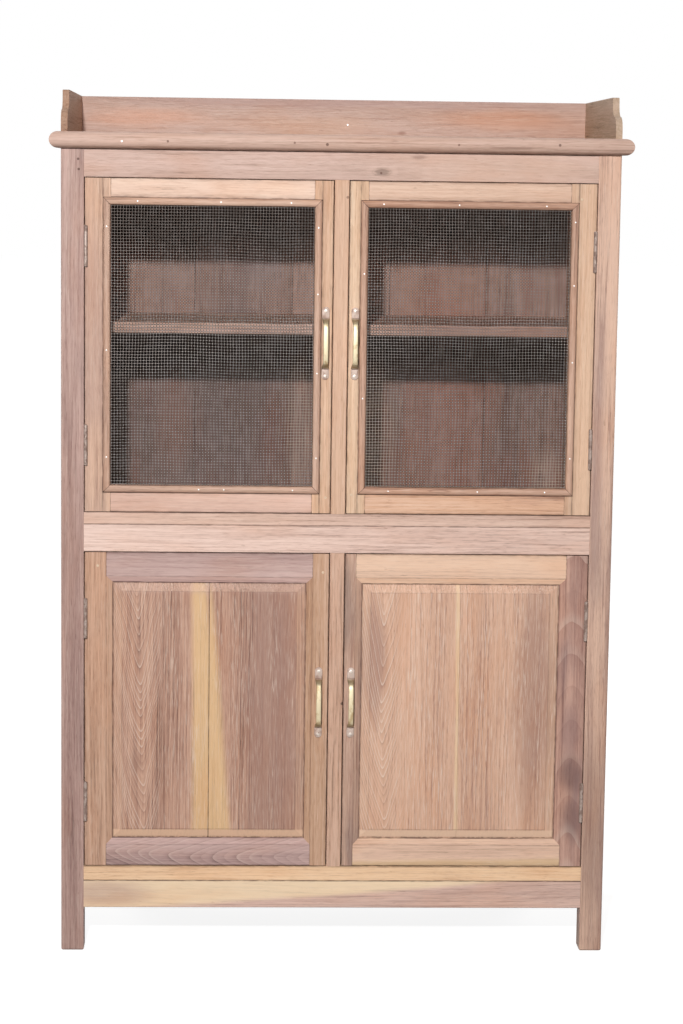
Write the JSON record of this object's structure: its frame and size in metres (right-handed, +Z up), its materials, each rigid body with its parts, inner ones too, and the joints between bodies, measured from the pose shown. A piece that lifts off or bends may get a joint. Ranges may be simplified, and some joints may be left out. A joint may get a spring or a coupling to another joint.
{
  "type": "jelly cupboard",
  "caption": "Tall free-standing teak jelly cupboard with wire-gauze doors over panelled doors, a shelf inside and a low gallery round the top.",
  "frame": {"origin": "on the floor, under the middle of the cupboard's outer box", "axes": "+Z up, the doors face -Y, +X to the right as seen from the front"},
  "size_m": [1.06, 0.473, 1.6],
  "materials": {
    "teak_carcass": "planed, unsealed old teak",
    "teak_doors": "planed, unsealed old teak",
    "teak_panels": "planed, unsealed old teak with strong figure",
    "teak_inside": "darkened, unplaned teak",
    "brass": "worn cast brass",
    "screws": "dull plated",
    "hinge_steel": "dull, browned steel",
    "gauze_wire": "dull galvanised wire"
  },
  "bodies": {
    "carcass": {"back_boards": "teak_inside", "bottom_front_rail": "teak_carcass", "front_left_post": "teak_carcass", "front_nosing": "teak_carcass", "front_right_post": "teak_carcass", "gallery_back": "teak_carcass", "gallery_left_side": "teak_carcass", "gallery_right_side": "teak_carcass", "hinge_pins": "hinge_steel", "left_side_panels": "teak_inside", "left_side_rails": "teak_carcass", "lower_centre_stile": "teak_carcass", "lower_floor": "teak_carcass", "middle_front_rail": "teak_carcass", "post_hinge_leaves": "hinge_steel", "rear_left_post": "teak_carcass", "rear_rails": "teak_inside", "rear_right_post": "teak_carcass", "right_side_panels": "teak_inside", "right_side_rails": "teak_carcass", "shelf_bearers": "teak_inside", "top_board": "teak_carcass", "top_front_rail": "teak_carcass", "upper_centre_stile": "teak_carcass", "upper_floor": "teak_carcass", "upper_shelf": "teak_inside"},
    "upper_left_door": {"upper_left_door_beading": "teak_doors", "upper_left_door_bottom_rail": "teak_doors", "upper_left_door_handle": "brass", "upper_left_door_handle_screws": "screws", "upper_left_door_hinge_leaves": "hinge_steel", "upper_left_door_hinge_stile": "teak_doors", "upper_left_door_meeting_stile": "teak_doors", "upper_left_door_top_rail": "teak_doors", "upper_left_door_wire_mesh": "gauze_wire"},
    "upper_right_door": {"upper_right_door_beading": "teak_doors", "upper_right_door_bottom_rail": "teak_doors", "upper_right_door_handle": "brass", "upper_right_door_handle_screws": "screws", "upper_right_door_hinge_leaves": "hinge_steel", "upper_right_door_hinge_stile": "teak_doors", "upper_right_door_meeting_stile": "teak_doors", "upper_right_door_top_rail": "teak_doors", "upper_right_door_wire_mesh": "gauze_wire"},
    "lower_left_door": {"lower_left_door_bottom_rail": "teak_doors", "lower_left_door_handle": "brass", "lower_left_door_handle_screws": "screws", "lower_left_door_hinge_leaves": "hinge_steel", "lower_left_door_hinge_stile": "teak_doors", "lower_left_door_meeting_stile": "teak_doors", "lower_left_door_panel": "teak_panels", "lower_left_door_top_rail": "teak_doors"},
    "lower_right_door": {"lower_right_door_bottom_rail": "teak_doors", "lower_right_door_handle": "brass", "lower_right_door_handle_screws": "screws", "lower_right_door_hinge_leaves": "hinge_steel", "lower_right_door_hinge_stile": "teak_doors", "lower_right_door_meeting_stile": "teak_doors", "lower_right_door_panel": "teak_panels", "lower_right_door_top_rail": "teak_doors"}
  },
  "joints": [
    {"name": "upper_left_door_hinge", "type": "hinge", "parent": "carcass", "child": "upper_left_door", "pos_m": [-0.4645, -0.2124, 1.137], "axis": [0, 0, -1], "range_deg": [0, 170]},
    {"name": "upper_right_door_hinge", "type": "hinge", "parent": "carcass", "child": "upper_right_door", "pos_m": [0.4645, -0.2124, 1.137], "axis": [0, 0, 1], "range_deg": [0, 170]},
    {"name": "lower_left_door_hinge", "type": "hinge", "parent": "carcass", "child": "lower_left_door", "pos_m": [-0.4645, -0.2124, 0.4605], "axis": [0, 0, -1], "range_deg": [0, 170]},
    {"name": "lower_right_door_hinge", "type": "hinge", "parent": "carcass", "child": "lower_right_door", "pos_m": [0.4645, -0.2124, 0.4605], "axis": [0, 0, 1], "range_deg": [0, 170]}
  ]
}
